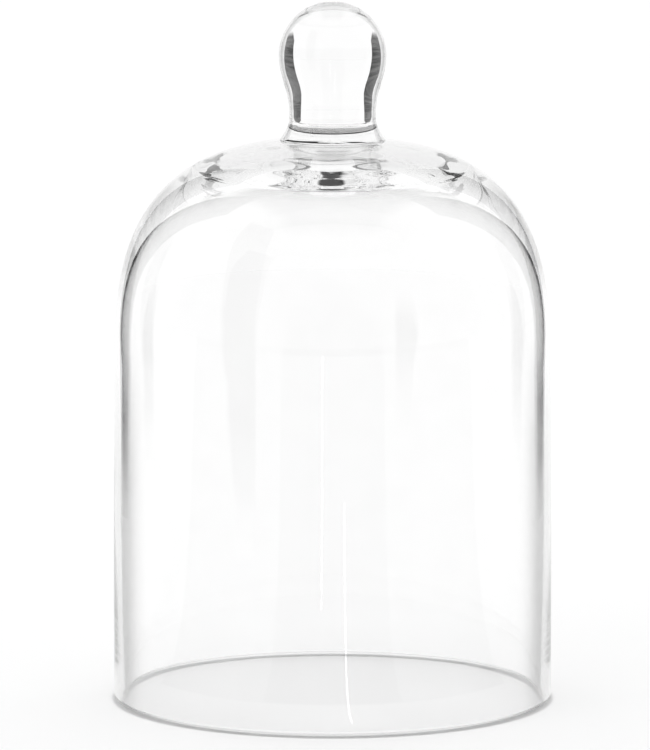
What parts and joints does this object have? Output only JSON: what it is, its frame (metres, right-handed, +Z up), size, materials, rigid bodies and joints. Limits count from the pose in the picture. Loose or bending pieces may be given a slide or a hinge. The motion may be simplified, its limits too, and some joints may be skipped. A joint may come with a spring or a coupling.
{
  "type": "bell jar dome",
  "caption": "Round clear glass bell jar with a soft square shoulder, an open ground rim and a solid glass knob on a flared collar, for covering a displayed object.",
  "frame": {"origin": "centre of the ground rim, on the plane that the dome stands on", "axes": "+Z up the dome's axis of revolution, from the rim towards the knob; +X and +Y are any two radial directions at right angles"},
  "size_m": [0.14, 0.14, 0.2217],
  "materials": {
    "bell_glass": "clear, fire-polished, with a ground rim",
    "collar_glass": "clear, fire-polished",
    "knob_glass": "clear, fire-polished, with a small ground flat on top"
  },
  "bodies": {
    "root": {"bell_shell": "bell_glass", "joint_collar": "collar_glass", "knob": "knob_glass"}
  },
  "joints": []
}
